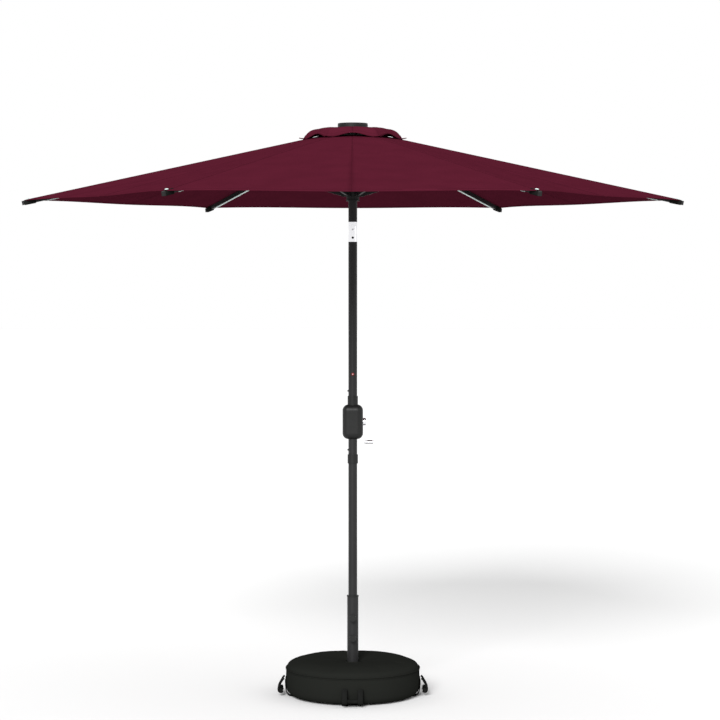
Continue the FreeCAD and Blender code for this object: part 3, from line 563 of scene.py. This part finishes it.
class UMBRELLA_OT_vent_cap(bpy.types.Operator):
    """Sew the vent cap over the canopy's hole: six gores with raised hems, corner tabs and a middle patch"""
    bl_idname = "umbrella.vent_cap"
    bl_label = "Vent cap"
    RIM_LAYERS = 2.5  # its corners above the main cloth, in thicknesses of the cloth
    TAB_TUCK, TAB_HALF, TAB_DRAWN_IN, TAB_CUT_HALF = 0.006, 0.016, 0.9, 0.013
    TAB_RISE, TAB_CURL, TAB_THICKNESS = 0.0035, 0.003, 0.0036

    def execute(self, context):
        canopy, vent = context.scene.umbrella_canopy, context.scene.umbrella_vent
        low = main_height(vent.radius, 0) + self.RIM_LAYERS * canopy.cloth
        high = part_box("vent_disc")[1].z - canopy.cloth

        def height(radius, a, b):
            lifted = vent.lift * math.sin(math.pi * b / 2) ** 2 * a ** 2
            fullness = 7 - 3 * abs(b)  # most on a rib, less between two
            return low + (high - low) * (1 - a ** fullness) + lifted

        for number in RIBS:
            gore = make_gore(f"vent_gore_{number}", number, vent.inside, vent.radius, vent.curve, height,
                             along=18, across=20)
            modify(gore, "SOLIDIFY", thickness=canopy.cloth, offset=-1)
            gather(gore, number, vent.gathered)
            hem = self.hem(canopy, vent, height, number)
            tab = self.tab(vent, low, number)
            width, span, steps = gore_width(vent.radius), vent.radius - vent.inside, 50
            run = sum(math.hypot(span / steps, height(0, k / steps, 0) - height(0, (k + 1) / steps, 0))
                      for k in range(steps))
            kite_area(vent.inside, vent.radius, vent.curve, 0) * run / span
        self.patch(canopy, vent, high)
        return {"FINISHED"}

    def hem(self, canopy, vent, height, number):
        """The turned-up edge of one of its panels."""
        def radius(a, b):
            return hem_radius(vent.radius, vent.curve, b) - canopy.hem / 2 * (1 - a)

        def point(a, b):
            share = (radius(a, b) - vent.inside) / (hem_radius(vent.radius, vent.curve, b) - vent.inside)
            return on_gore(radius(a, b), b, height(radius(a, b), share, b) - canopy.cloth / 2, number)

        bm = bent_grid(2, 24, point, lambda a, b: (a * canopy.hem, b * vent.radius / 2))
        hem = piece(f"vent_hem_{number}", bm, "canopy_cloth", f"rib_{number}")
        modify(hem, "SOLIDIFY", thickness=HEM_LAYERS * canopy.cloth, offset=0)
        gather(hem, number, vent.gathered)
        return hem

    def tab(self, vent, low, number):
        """A folded tab at the corner, drawn to a point."""
        def point(a, b):
            radius = vent.radius - self.TAB_TUCK + (vent.tab + self.TAB_TUCK) * a
            return to_rib(number) @ Vector((radius, b * self.TAB_HALF * (1 - self.TAB_DRAWN_IN * a),
                                            low + self.TAB_RISE + self.TAB_CURL * a ** 2))

        bm = bent_grid(6, 4, point, lambda a, b: (a * vent.tab, b * self.TAB_CUT_HALF))
        tab = piece(f"vent_tab_{number}", bm, "canopy_cloth", f"rib_{number}")
        modify(tab, "SOLIDIFY", thickness=self.TAB_THICKNESS, offset=0)
        gather(tab, number, vent.gathered)
        return tab

    def patch(self, canopy, vent, high):
        """The round patch under the solar light, where the panels meet."""
        edge = vent.inside * math.cos(HALF)
        outline = [(0.0, high), (edge * 0.6, high), (edge * 0.92, high - 0.0004), (edge, high - 0.0014)]
        bm = lathe(outline, 48)
        lay_weave(bm)
        patch = piece("vent_patch", bm, "canopy_cloth", "head")
        modify(patch, "SOLIDIFY", thickness=canopy.cloth, offset=0)
        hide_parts("vent_disc")


# --- ribs, head and pole --------------------------------------------------------------------------


def paint(finish, *names):
    """Gives nodes of the frame their finish."""
    for name in names:
        mesh = frame["nodes"][name].data
        mesh.materials.clear()
        mesh.materials.append(finish_named(finish))


def domed_head(radius, height, sides=16):
    """A domed rivet head that stands on the XY plane."""
    bm = bmesh.new()
    bmesh.ops.create_uvsphere(bm, u_segments=sides, v_segments=8, radius=radius)
    bmesh.ops.bisect_plane(bm, geom=bm.verts[:] + bm.edges[:] + bm.faces[:], plane_co=(0, 0, 0),
                           plane_no=(0, 0, 1), clear_inner=True)
    rim = [edge for edge in bm.edges if edge.is_boundary]
    bmesh.ops.contextual_create(bm, geom=rim)
    bmesh.ops.scale(bm, verts=bm.verts, vec=(1, 1, height / radius))
    bmesh.ops.recalc_face_normals(bm, faces=bm.faces)
    return bm


def put(into, part, matrix):
    """Adds a copy of a part to a bmesh, in its place."""
    mesh = bpy.data.meshes.new("part")
    part.to_mesh(mesh)
    mesh.transform(matrix)
    into.from_mesh(mesh)
    bpy.data.meshes.remove(mesh)


class UMBRELLA_OT_ribs(bpy.types.Operator):
    """Finish the ribs and struts, and fit their light strips and rivets"""
    bl_idname = "umbrella.ribs"
    bl_label = "Ribs and lights"
    STRIP_WIDTH, STRIP_HEIGHT, STRIP_ROUNDING, STRIP_ENDS = 0.0096, 0.0034, 0.0012, 0.004
    STRIP_FACE, STRIP_MIDDLE = -0.0123, 0.0014  # below the rib's axis, and its middle above that
    LAMP, LAMP_RISE, LAMP_SUNK = 0.0024, 0.0012, 0.0002
    RIVET, RIVET_RISE, RIVET_OUT = 0.0046, 0.0018, 0.0077

    def execute(self, context):
        sizes = context.scene.umbrella_frame
        for number in RIBS:
            paint("rib_paint", f"rib_{number}", f"strut_{number}")
            paint("black_plastic", f"rib_fittings_{number}")
            self.light_strip(sizes, number)
            self.rivets(number)
        return {"FINISHED"}

    def light_strip(self, sizes, number):
        """A milky cover over the strip, and the lamps that show on it."""
        size = (sizes.light_length + self.STRIP_ENDS, self.STRIP_WIDTH, self.STRIP_HEIGHT)
        middle = (sizes.light_start + sizes.light_length / 2, 0, self.STRIP_FACE + self.STRIP_MIDDLE)
        bm = rounded_block(size, self.STRIP_ROUNDING, middle)
        lamp, face_down = domed_head(self.LAMP, self.LAMP_RISE, sides=10), Matrix.Rotation(math.pi, 4, "X")
        for place in range(sizes.lamps):
            along = sizes.light_start + sizes.light_length * (place + 0.5) / sizes.lamps
            put(bm, lamp, Matrix.Translation((along, 0, self.STRIP_FACE - self.LAMP_SUNK)) @ face_down)
        lamp.free()
        bm.transform(rib_frame(number))
        piece(f"light_strip_{number}", bm, "light_cover", f"rib_{number}", sharp=35)

    def rivets(self, number):
        """The heads of the strut's rivet, one each side of its bracket."""
        place = Matrix.Translation(JOINTS[f"strut_hinge_{number}"]) @ to_rib(number)
        head, bm = domed_head(self.RIVET, self.RIVET_RISE), bmesh.new()
        for side in (-1, 1):
            turn = Matrix.Rotation(-side * math.pi / 2, 4, "X")
            put(bm, head, place @ Matrix.Translation((0, side * self.RIVET_OUT, 0)) @ turn)
        head.free()
        piece(f"strut_rivets_{number}", bm, "zinc", f"rib_{number}", sharp=50)


class UMBRELLA_OT_head(bpy.types.Operator):
    """Finish the crown, the runner and the solar light"""
    bl_idname = "umbrella.head"
    bl_label = "Head and solar light"

    def execute(self, context):
        paint("black_plastic", "hub", "runner", "solar_housing")
        paint("zinc", "hub_pins")
        paint("pole_paint", "head_tube")
        self.cell()
        self.rim()
        return {"FINISHED"}

    def cell(self):
        """The solar cell under its slightly domed resin."""
        low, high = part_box("solar_panel")
        radius = high.x - 0.0003
        outline = [(0.0, high.z + 0.0016), (radius * 0.5, high.z + 0.0013), (radius * 0.9, high.z + 0.0005),
                   (radius, high.z - 0.0002), (radius, low.z)]
        cell = piece("solar_cell_face", lathe(outline, 64), "solar_cell", "head", sharp=50)
        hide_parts("solar_panel")

    def rim(self):
        """A raised lip round the light's case."""
        low, high = PUCK
        radius, middle = high.x, (low.z + high.z) / 2
        root, lip, root_half, lip_half = radius - 0.002, radius + 0.0008, 0.0016, 0.0012
        outline = [(root, middle - root_half), (lip, middle - lip_half),
                   (lip, middle + lip_half), (root, middle + root_half)]
        piece("solar_rim", lathe(outline, 64), "black_plastic", "head", sharp=50)


class UMBRELLA_OT_pole(bpy.types.Operator):
    """Finish the pole, its crank housing, crank, buttons and tilt joint"""
    bl_idname = "umbrella.pole"
    bl_label = "Pole and crank"
    DOT, DOT_RISE, DOT_SUNK = 0.0022, 0.0006, 0.0001
    CAP, CAP_RISE, CAP_OUT = 0.0125, 0.0028, 0.0118  # the last from the housing's face

    def execute(self, context):
        paint("pole_paint", "lower_pole", "upper_pole")
        paint("black_plastic", "pole_sleeve", "crank_bush", "crank_spool", "tilt_button")
        paint("housing_plastic", "housing_front", "housing_back")
        paint("zinc", "housing_screws", "tilt_pin")
        paint("rib_paint", "snap_button_lower", "snap_button_upper")
        paint("chrome", "tilt_fork", "tilt_tongue", "crank_arm", "crank_grip")
        paint("switch_plastic", "light_switch")
        self.switch_cap()
        self.crank_cap()
        return {"FINISHED"}

    def switch_cap(self):
        """The pale dot on the switch."""
        low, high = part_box("light_switch")
        bm = domed_head(self.DOT, self.DOT_RISE)
        face = Vector(((low.x + high.x) / 2, low.y + self.DOT_SUNK, (low.z + high.z) / 2))
        bm.transform(Matrix.Translation(face) @ Matrix.Rotation(math.pi / 2, 4, "X"))
        piece("switch_dot", bm, "light_cover", "light_switch")

    def crank_cap(self):
        """The domed cap over the crank's screw."""
        at, boss = JOINTS["crank_turn"], HOUSING_FACE + self.CAP_OUT
        bm = domed_head(self.CAP, self.CAP_RISE, sides=32)
        bm.transform(Matrix.Translation((boss, at.y, at.z)) @ Matrix.Rotation(math.pi / 2, 4, "Y"))
        piece("crank_cap", bm, "chrome", "crank", sharp=50)


# --- base -----------------------------------------------------------------------------------------


class UMBRELLA_OT_weight_bag(bpy.types.Operator):
    """Sew and fill the round weight bag with its piped seam and collar"""
    bl_idname = "umbrella.weight_bag"
    bl_label = "Weight bag"
    FLOOR = 0.02  # the cloth below this height lies still
    HELD_NECK, STILL_NECK = 0.035, 0.04  # the cloth within these radii is held, and left smooth
    SEAM_BAND, SEAM_REACH = 0.004, 0.28
    PRESSURE, STIFFNESS, BENDING, STEPS = 3.0, 25, 2.0, 16
    TOP_SWELL, WALL_SWELL = 0.005, 0.001  # the furthest that the pressure moves the cloth
    HOLLOWS, TOP_DENT, WALL_DENT = 9, 0.0022, 0.0008
    PUCKERS, PUCKER_DEPTH, PUCKER_BAND, PUCKER_REACH = 46, 0.0005, 0.010, 0.25

    def execute(self, context):
        sizes = context.scene.umbrella_base
        low, high = BAG
        radius, tube = high.x, STAND[1].x + 0.0008
        neck = (tube, high.z - 0.003)
        outline = [(0.0, low.z), (radius * 0.45, low.z), (radius * 0.86, low.z + 0.0004),
                   (radius * 0.945, low.z + 0.006), (radius * 0.985, low.z + 0.024), (radius - 0.0006, 0.055),
                   (radius - 0.0006, 0.085), (radius - 0.002, sizes.seam_height),
                   (radius * 0.965, sizes.crown - 0.014), (radius * 0.89, sizes.crown - 0.004),
                   (radius * 0.75, sizes.crown), (radius * 0.5, sizes.crown - 0.001),
                   (radius * 0.25, sizes.crown - 0.004), neck]
        bm = lathe(outline, 96)
        bmesh.ops.subdivide_edges(bm, edges=bm.edges, cuts=1, use_grid_fill=True)
        bag = piece("bag", bm, "bag_cloth", "base")
        self.fill(bag, sizes)
        self.settle(bag, sizes)
        modify(bag, "SUBSURF", levels=1, render_levels=1)
        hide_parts("weight_bag", "sand_fill")
        self.piping(sizes, radius)
        self.collar(tube)
        self.stitches(sizes, radius)
        return {"FINISHED"}

    def fill(self, bag, sizes):
        """Swells the cloth with pressure from inside, held at its seam, floor and neck."""
        rest = [corner.co.copy() for corner in bag.data.vertices]
        held = bag.vertex_groups.new(name="held")
        for corner in bag.data.vertices:
            reach = math.hypot(corner.co.x, corner.co.y)
            on_seam = abs(corner.co.z - sizes.seam_height) < self.SEAM_BAND and reach > self.SEAM_REACH
            if corner.co.z < self.FLOOR or on_seam or reach < self.HELD_NECK:
                held.add([corner.index], 1.0, "REPLACE")
        cloth = modify(bag, "CLOTH")
        cloth.settings.use_pressure = True
        cloth.settings.uniform_pressure_force = self.PRESSURE
        cloth.settings.effector_weights.gravity = 0
        cloth.settings.vertex_group_mass = "held"
        cloth.settings.tension_stiffness = cloth.settings.compression_stiffness = self.STIFFNESS
        cloth.settings.bending_stiffness = self.BENDING
        cloth.point_cache.frame_start, cloth.point_cache.frame_end = 1, self.STEPS
        for step in range(self.STEPS):
            bpy.context.scene.frame_set(step + 1)
        shaped = bag.evaluated_get(bpy.context.evaluated_depsgraph_get()).data
        moved = [corner.co.copy() for corner in shaped.vertices]
        bag.modifiers.clear()
        for corner, start, end in zip(bag.data.vertices, rest, moved):
            shift, most = end - start, self.TOP_SWELL if start.z > sizes.seam_height else self.WALL_SWELL
            corner.co = start + (shift if shift.length < most else shift.normalized() * most)
        bpy.context.scene.frame_set(1)

    def settle(self, bag, sizes):
        """The soft hollows of a bag filled with sand, and the puckers along its seam."""
        for corner in bag.data.vertices:
            spot = corner.co
            reach = math.hypot(spot.x, spot.y)
            if spot.z < self.FLOOR or reach < self.STILL_NECK:
                continue
            bearing = math.atan2(spot.y, spot.x)
            hollow = noise.noise(Vector([part * self.HOLLOWS for part in spot]))
            from_seam = (spot.z - sizes.seam_height) / self.PUCKER_BAND
            near = math.exp(-from_seam ** 2) * (reach > self.PUCKER_REACH)
            drift = 3 * noise.noise(Vector((bearing * 3, 0, 5)))
            pucker = math.sin(bearing * self.PUCKERS + drift)
            if spot.z > sizes.seam_height:
                spot.z += self.TOP_DENT * hollow
            out = self.WALL_DENT * hollow + self.PUCKER_DEPTH * pucker * near
            spot.x += out * math.cos(bearing)
            spot.y += out * math.sin(bearing)

    def piping(self, sizes, radius):
        """The round cord sewn into the seam between top and wall."""
        steps, sewn_in = 12, 0.0012
        ring = [(radius - sewn_in + sizes.piping * math.cos(math.tau * k / steps),
                 sizes.seam_height + sizes.piping * math.sin(math.tau * k / steps)) for k in range(steps)]
        bm = lathe(ring + ring[:1], 160)
        lay_weave(bm)
        piece("bag_piping", bm, "bag_cloth", "base")

    def collar(self, tube):
        """The elastic hem round the stand tube."""
        steps, radius, height = 10, tube + 0.003, BAG[1].z - 0.002
        half_width, half_height, gathers, gather_height = 0.0028, 0.0036, 17, 0.0006
        ring = [(radius + half_width * math.cos(math.tau * k / steps),
                 height + half_height * math.sin(math.tau * k / steps)) for k in range(steps)]
        bm = lathe(ring + ring[:1], 64)
        for corner in bm.verts:
            bearing = math.atan2(corner.co.y, corner.co.x)
            corner.co.z += gather_height * math.sin(gathers * bearing)
        lay_weave(bm)
        piece("bag_collar", bm, "bag_cloth", "base")

    def stitches(self, sizes, radius):
        """A row of stitches just below the piping."""
        count, thread, proud, below = 220, 0.0005, 0.0001, 0.0075
        bm, stitch = bmesh.new(), bmesh.new()
        bmesh.ops.create_cone(stitch, segments=6, radius1=thread, radius2=thread, depth=0.0052, cap_ends=True)
        at = Matrix.Translation((radius + proud, 0, sizes.seam_height - below))
        for place in range(count):
            turn = Matrix.Rotation(math.tau * place / count, 4, "Z")
            put(bm, stitch, turn @ at @ Matrix.Rotation(math.pi / 2, 4, "X"))
        stitch.free()
        lay_weave(bm)
        piece("bag_stitches", bm, "webbing", "base")


def strip_path(points, share):
    """The point a share of the way along a smooth line (Catmull-Rom) through some points."""
    spans = len(points) - 1
    span = min(spans - 1, int(share * spans))
    t = share * spans - span
    padded = [points[0] * 2 - points[1], *points, points[-1] * 2 - points[-2]]
    a, b, c, d = padded[span:span + 4]
    return 0.5 * ((2 * b) + (c - a) * t + (2 * a - 5 * b + 4 * c - d) * t * t
                  + (3 * b - a - 3 * c + d) * t ** 3)


def webbing_strip(points, width, offset, segments):
    """A flat strip of webbing that follows points of (radius, height), set to one side."""
    path = [Vector((radius, 0, height)) for radius, height in points]
    run = sum((b - a).length for a, b in zip(path, path[1:]))

    def point(a, b):
        spot = strip_path(path, a)
        return Vector((spot.x, offset + b * width / 2, spot.z))

    return bent_grid(segments, 4, point, lambda a, b: (a * run, b * width / 2))


class UMBRELLA_OT_straps(bpy.types.Operator):
    """Sew the webbing straps that wrap under the bag"""
    bl_idname = "umbrella.straps"
    bl_label = "Straps"
    STAND_OFF, TUCK, TOP_GAP = 0.0016, 0.060, 0.010  # off the wall, under the bag, below their box

    def execute(self, context):
        sizes = context.scene.umbrella_base
        radius, floor = BAG[1].x, sizes.webbing / 2
        wall = radius + self.STAND_OFF
        points = [(wall - self.TUCK, floor), (radius * 0.86, floor + 0.0002), (radius * 0.91, floor + 0.0010),
                  (radius * 0.945 + 0.0020, floor + 0.0048), (radius * 0.970 + 0.0022, floor + 0.0125),
                  (radius * 0.985 + 0.0022, floor + 0.0235), (wall - 0.0004, 0.052), (wall, 0.066),
                  (wall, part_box("bag_straps")[1].z - self.TOP_GAP)]
        whole = bmesh.new()
        for quarter in range(len(HANDLES)):
            for side in (-1, 1):
                strap = webbing_strip(points, sizes.webbing_width, side * sizes.strap_offset, 40)
                put(whole, strap, to_handle(quarter))
                strap.free()
        straps = piece("webbing_straps", whole, "webbing", "base")
        modify(straps, "SOLIDIFY", thickness=sizes.webbing, offset=0)
        modify(straps, "BEVEL", width=0.0006, segments=2, limit_method="ANGLE")
        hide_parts("bag_straps")
        return {"FINISHED"}


class UMBRELLA_OT_handles(bpy.types.Operator):
    """Sew the four carrying handles with their rolled grips"""
    bl_idname = "umbrella.handles"
    bl_label = "Handles"
    CORE = 0.0095  # the grip's radius in the frame
    LEG_WIDTH, LEG_LAYERS, DROOP = 0.020, 2.6, 0.0015

    def execute(self, context):
        sizes = context.scene.umbrella_base
        for quarter, name in enumerate(HANDLES):
            legs, grip = self.legs(sizes), self.grip(sizes)
            for shape in (legs, grip):
                shape.transform(to_handle(quarter))
            legs = piece(f"handle_legs_{name}", legs, "webbing", f"handle_{name}")
            modify(legs, "SOLIDIFY", thickness=self.LEG_LAYERS * sizes.webbing, offset=0)
            modify(legs, "BEVEL", width=0.0014, segments=3, limit_method="ANGLE")
            grip = piece(f"handle_grip_{name}", grip, "webbing", f"handle_{name}", sharp=50)
            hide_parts(f"handle_{name}")
        return {"FINISHED"}

    def middle(self):
        """The middle of the right handle's grip, from its node's box."""
        low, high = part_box("handle_right")
        return Vector((high.x - self.CORE, 0, low.z + self.CORE))

    def legs(self, sizes):
        """Two strips that leave the wall, bow out and wrap under the grip."""
        at, fold = self.middle(), JOINTS["handle_right_lift"]
        reach = sizes.grip + sizes.webbing
        points = [(fold.x + 0.0012, fold.z), (fold.x + 0.007, fold.z - 0.005),
                  (fold.x + 0.015, fold.z - 0.018), (at.x + reach * 0.95, at.z + 0.010),
                  (at.x + reach, at.z), (at.x + reach * 0.70, at.z - reach * 0.70),
                  (at.x, at.z - reach), (at.x - reach * 0.75, at.z - reach * 0.6)]
        bm = bmesh.new()
        for side in (-1, 1):
            leg = webbing_strip(points, self.LEG_WIDTH, side * sizes.strap_offset, 36)
            put(bm, leg, Matrix.Identity(4))
            leg.free()
        return bm

    def grip(self, sizes):
        """Webbing rolled round a core, thicker in the middle and bound at both ends."""
        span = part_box("handle_right")[1].y
        half = [(sizes.grip, span * 0.4), (0.90 * sizes.grip, span * 0.8), (0.86 * sizes.grip, span - 0.0015),
                (0.6 * sizes.grip, span), (0.0, span)]
        outline = [(radius, -along) for radius, along in reversed(half)] + half
        bm = lathe(outline, 28)
        lay_weave(bm)
        at = self.middle()
        bm.transform(Matrix.Translation(at) @ Matrix.Rotation(math.pi / 2, 4, "X"))
        for corner in bm.verts:
            corner.co.z -= self.DROOP * (1 - (corner.co.y / span) ** 2)
        return bm


class UMBRELLA_OT_stand(bpy.types.Operator):
    """Finish the stand tube, its bushes and clamping knobs"""
    bl_idname = "umbrella.stand"
    bl_label = "Stand"

    def execute(self, context):
        paint("pole_paint", "stand_tube")
        paint("rib_paint", "base_plate")
        paint("black_plastic", "pole_bushes", "knob_lower", "knob_upper")
        return {"FINISHED"}


# --- stage ----------------------------------------------------------------------------------------


class UMBRELLA_OT_stage(bpy.types.Operator):
    """Set up the pale floor, the soft light and the camera"""
    bl_idname = "umbrella.stage"
    bl_label = "Stage"
    FLOOR_REACH = 60
    LENS, LENS_SHIFT, CAMERA_PLACE = 115.3, -0.1257, (0.0313, -10.0, 1.843)

    def execute(self, context):
        scene = context.scene
        scene.view_settings.view_transform = "Standard"
        self.floor(scene)
        self.sky(scene)
        self.lamp(scene, "key", energy=4.7, softness=25, source=(-0.22, -0.85, 0.50))
        self.lamp(scene, "fill", energy=0.6, softness=60, source=(0.8, -0.3, 0.5))
        self.camera(scene)
        return {"FINISHED"}

    def floor(self, scene):
        bm = bmesh.new()
        bmesh.ops.create_grid(bm, x_segments=1, y_segments=1, size=self.FLOOR_REACH)
        mesh = bpy.data.meshes.new("floor")
        bm.to_mesh(mesh)
        bm.free()
        finish, _ = plain("floor", (0.60, 0.60, 0.60), roughness=0.9, gloss=0)
        mesh.materials.append(finish)
        floor = bpy.data.objects.new("floor", mesh)
        scene.collection.objects.link(floor)

    def sky(self, scene):
        world = bpy.data.worlds.new("studio")
        world.use_nodes = True
        light = world.node_tree.nodes["Background"].inputs
        light["Color"].default_value, light["Strength"].default_value = (1, 1, 1, 1), 1.0
        scene.world = world

    def lamp(self, scene, name, energy, softness, source):
        light = bpy.data.lights.new(name, "SUN")
        light.energy, light.angle = energy, math.radians(softness)
        lamp = bpy.data.objects.new(name, light)
        lamp.rotation_euler = Vector(source).to_track_quat("Z", "Y").to_euler()
        scene.collection.objects.link(lamp)

    def camera(self, scene):
        lens = bpy.data.cameras.new("camera")
        lens.lens, lens.shift_y = self.LENS, self.LENS_SHIFT
        camera = bpy.data.objects.new("camera", lens)
        camera.location = self.CAMERA_PLACE
        camera.rotation_euler = (math.radians(90), 0, 0)
        scene.collection.objects.link(camera)
        scene.camera = camera


class UMBRELLA_PT_panel(bpy.types.Panel):
    """The umbrella's pieces, in the order in which they are made"""
    bl_idname = "UMBRELLA_PT_panel"
    bl_label = "Patio umbrella"
    bl_space_type = "VIEW_3D"
    bl_region_type = "UI"
    bl_category = "Umbrella"

    def draw(self, context):
        for operator in OPERATORS:
            self.layout.operator(operator.bl_idname)
        for owner in GROUPS:
            group, box = getattr(context.scene, owner), self.layout.box()
            for name in group.bl_rna.properties.keys():
                if name not in ("rna_type", "name"):
                    box.prop(group, name)


OPERATORS = (UMBRELLA_OT_weight_bag, UMBRELLA_OT_straps, UMBRELLA_OT_handles, UMBRELLA_OT_stand,
             UMBRELLA_OT_pole, UMBRELLA_OT_head, UMBRELLA_OT_ribs, UMBRELLA_OT_canopy, UMBRELLA_OT_vent_cap,
             UMBRELLA_OT_stage)
GROUPS = {"umbrella_canopy": CanopySizes, "umbrella_vent": VentSizes, "umbrella_base": BaseSizes,
          "umbrella_frame": FrameFinish}


def register():
    for kind in (*GROUPS.values(), *OPERATORS, UMBRELLA_PT_panel):
        bpy.utils.register_class(kind)
    for name, group in GROUPS.items():
        setattr(bpy.types.Scene, name, PointerProperty(type=group))


def unregister():
    for name in GROUPS:
        delattr(bpy.types.Scene, name)
    for kind in (UMBRELLA_PT_panel, *reversed(OPERATORS), *GROUPS.values()):
        bpy.utils.unregister_class(kind)


def main():
    register()
    for operator in OPERATORS:
        group, name = operator.bl_idname.split(".")
        getattr(getattr(bpy.ops, group), name)()


if __name__ == "__main__":
    main()
